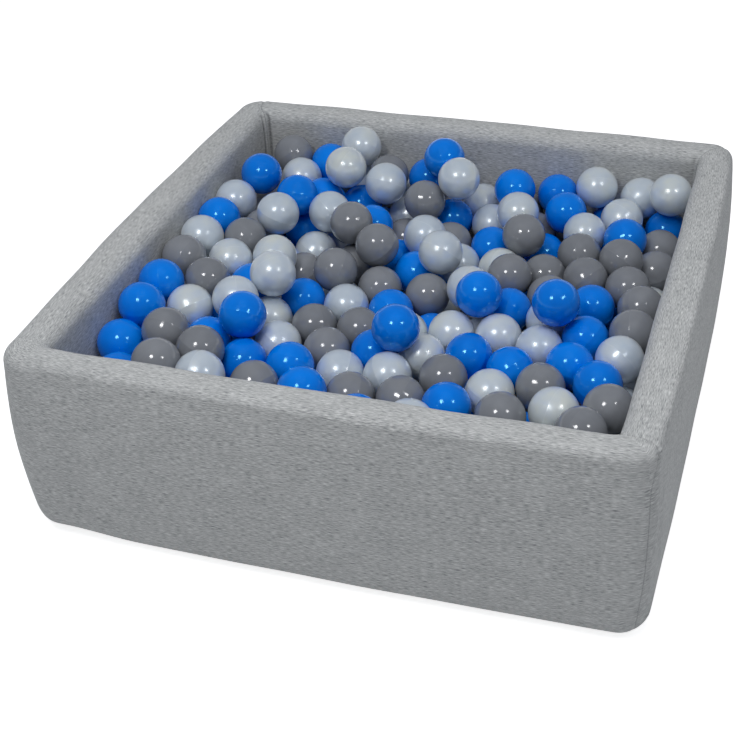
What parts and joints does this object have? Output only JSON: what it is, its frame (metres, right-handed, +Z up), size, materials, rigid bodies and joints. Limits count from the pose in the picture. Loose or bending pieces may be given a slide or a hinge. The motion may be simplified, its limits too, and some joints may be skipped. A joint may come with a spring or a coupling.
{
  "type": "foam ball pit",
  "caption": "Low square ball pit: padded foam walls and floor mat in grey jersey covers with a zip low on the back, filled with loose blue, grey and pearl plastic balls.",
  "frame": {"origin": "middle of the floor mat's underside, on the floor", "axes": "+X to the right along the front wall, +Y from the front wall to the back wall with the zip, +Z up"},
  "size_m": [0.9, 0.9091, 0.3231],
  "materials": {
    "jersey": "matt melange grey cotton jersey with a fine streaky grain along the walls",
    "foam": "pale open-cell polyurethane foam",
    "zip_tape": "woven grey polyester tape with a nylon coil",
    "zip_metal": "grey lacquered zinc",
    "heap": "glossy blue, grey and pearl balls",
    "ball_blue": "glossy opaque blue",
    "ball_grey": "glossy opaque warm grey",
    "ball_pearl": "translucent pearl white with a faint sheen"
  },
  "bodies": {
    "pit": {"cover_front": "jersey", "cover_right": "jersey", "cover_back": "jersey", "cover_left": "jersey", "foam_front": "foam", "foam_right": "foam", "foam_back": "foam", "foam_left": "foam", "mat_cover": "jersey", "mat_foam": "foam", "zip_chain": "zip_tape", "ball_heap": "heap"},
    "zip_slider": {"zip_slider": "zip_metal"},
    "zip_pull": {"zip_pull": "zip_metal"},
    "ball_01_blue": {"ball_01_blue": "ball_blue"},
    "ball_02_pearl": {"ball_02_pearl": "ball_pearl"},
    "ball_03_pearl": {"ball_03_pearl": "ball_pearl"},
    "ball_04_blue": {"ball_04_blue": "ball_blue"},
    "ball_05_blue": {"ball_05_blue": "ball_blue"},
    "ball_06_pearl": {"ball_06_pearl": "ball_pearl"},
    "ball_07_pearl": {"ball_07_pearl": "ball_pearl"},
    "ball_08_pearl": {"ball_08_pearl": "ball_pearl"},
    "ball_09_blue": {"ball_09_blue": "ball_blue"},
    "ball_10_grey": {"ball_10_grey": "ball_grey"},
    "ball_11_blue": {"ball_11_blue": "ball_blue"},
    "ball_12_grey": {"ball_12_grey": "ball_grey"},
    "ball_13_blue": {"ball_13_blue": "ball_blue"},
    "ball_14_pearl": {"ball_14_pearl": "ball_pearl"},
    "ball_15_blue": {"ball_15_blue": "ball_blue"},
    "ball_16_pearl": {"ball_16_pearl": "ball_pearl"},
    "ball_17_pearl": {"ball_17_pearl": "ball_pearl"},
    "ball_18_pearl": {"ball_18_pearl": "ball_pearl"},
    "ball_19_grey": {"ball_19_grey": "ball_grey"},
    "ball_20_pearl": {"ball_20_pearl": "ball_pearl"},
    "ball_21_grey": {"ball_21_grey": "ball_grey"},
    "ball_22_blue": {"ball_22_blue": "ball_blue"},
    "ball_23_grey": {"ball_23_grey": "ball_grey"},
    "ball_24_pearl": {"ball_24_pearl": "ball_pearl"},
    "ball_25_grey": {"ball_25_grey": "ball_grey"},
    "ball_26_grey": {"ball_26_grey": "ball_grey"}
  },
  "joints": [
    {"name": "zip_run", "type": "slide", "parent": "pit", "child": "zip_slider", "axis": [1, 0, 0], "range_m": [0, 0.715]},
    {"name": "pull_turn", "type": "hinge", "parent": "zip_slider", "child": "zip_pull", "pos_m": [-0.3575, 0.45462, 0.06], "axis": [0, 0, 1], "range_deg": [0, 180]},
    {"name": "lift_01", "type": "slide", "parent": "pit", "child": "ball_01_blue", "axis": [0, 0, 1], "range_m": [0, 0.2]},
    {"name": "lift_02", "type": "slide", "parent": "pit", "child": "ball_02_pearl", "axis": [0, 0, 1], "range_m": [0, 0.2]},
    {"name": "lift_03", "type": "slide", "parent": "pit", "child": "ball_03_pearl", "axis": [0, 0, 1], "range_m": [0, 0.2]},
    {"name": "lift_04", "type": "slide", "parent": "pit", "child": "ball_04_blue", "axis": [0, 0, 1], "range_m": [0, 0.2]},
    {"name": "lift_05", "type": "slide", "parent": "pit", "child": "ball_05_blue", "axis": [0, 0, 1], "range_m": [0, 0.2]},
    {"name": "lift_06", "type": "slide", "parent": "pit", "child": "ball_06_pearl", "axis": [0, 0, 1], "range_m": [0, 0.2]},
    {"name": "lift_07", "type": "slide", "parent": "pit", "child": "ball_07_pearl", "axis": [0, 0, 1], "range_m": [0, 0.2]},
    {"name": "lift_08", "type": "slide", "parent": "pit", "child": "ball_08_pearl", "axis": [0, 0, 1], "range_m": [0, 0.2]},
    {"name": "lift_09", "type": "slide", "parent": "pit", "child": "ball_09_blue", "axis": [0, 0, 1], "range_m": [0, 0.2]},
    {"name": "lift_10", "type": "slide", "parent": "pit", "child": "ball_10_grey", "axis": [0, 0, 1], "range_m": [0, 0.2]},
    {"name": "lift_11", "type": "slide", "parent": "pit", "child": "ball_11_blue", "axis": [0, 0, 1], "range_m": [0, 0.2]},
    {"name": "lift_12", "type": "slide", "parent": "pit", "child": "ball_12_grey", "axis": [0, 0, 1], "range_m": [0, 0.2]},
    {"name": "lift_13", "type": "slide", "parent": "pit", "child": "ball_13_blue", "axis": [0, 0, 1], "range_m": [0, 0.2]},
    {"name": "lift_14", "type": "slide", "parent": "pit", "child": "ball_14_pearl", "axis": [0, 0, 1], "range_m": [0, 0.2]},
    {"name": "lift_15", "type": "slide", "parent": "pit", "child": "ball_15_blue", "axis": [0, 0, 1], "range_m": [0, 0.2]},
    {"name": "lift_16", "type": "slide", "parent": "pit", "child": "ball_16_pearl", "axis": [0, 0, 1], "range_m": [0, 0.2]},
    {"name": "lift_17", "type": "slide", "parent": "pit", "child": "ball_17_pearl", "axis": [0, 0, 1], "range_m": [0, 0.2]},
    {"name": "lift_18", "type": "slide", "parent": "pit", "child": "ball_18_pearl", "axis": [0, 0, 1], "range_m": [0, 0.2]},
    {"name": "lift_19", "type": "slide", "parent": "pit", "child": "ball_19_grey", "axis": [0, 0, 1], "range_m": [0, 0.2]},
    {"name": "lift_20", "type": "slide", "parent": "pit", "child": "ball_20_pearl", "axis": [0, 0, 1], "range_m": [0, 0.2]},
    {"name": "lift_21", "type": "slide", "parent": "pit", "child": "ball_21_grey", "axis": [0, 0, 1], "range_m": [0, 0.2]},
    {"name": "lift_22", "type": "slide", "parent": "pit", "child": "ball_22_blue", "axis": [0, 0, 1], "range_m": [0, 0.2]},
    {"name": "lift_23", "type": "slide", "parent": "pit", "child": "ball_23_grey", "axis": [0, 0, 1], "range_m": [0, 0.2]},
    {"name": "lift_24", "type": "slide", "parent": "pit", "child": "ball_24_pearl", "axis": [0, 0, 1], "range_m": [0, 0.2]},
    {"name": "lift_25", "type": "slide", "parent": "pit", "child": "ball_25_grey", "axis": [0, 0, 1], "range_m": [0, 0.2]},
    {"name": "lift_26", "type": "slide", "parent": "pit", "child": "ball_26_grey", "axis": [0, 0, 1], "range_m": [0, 0.2]}
  ]
}
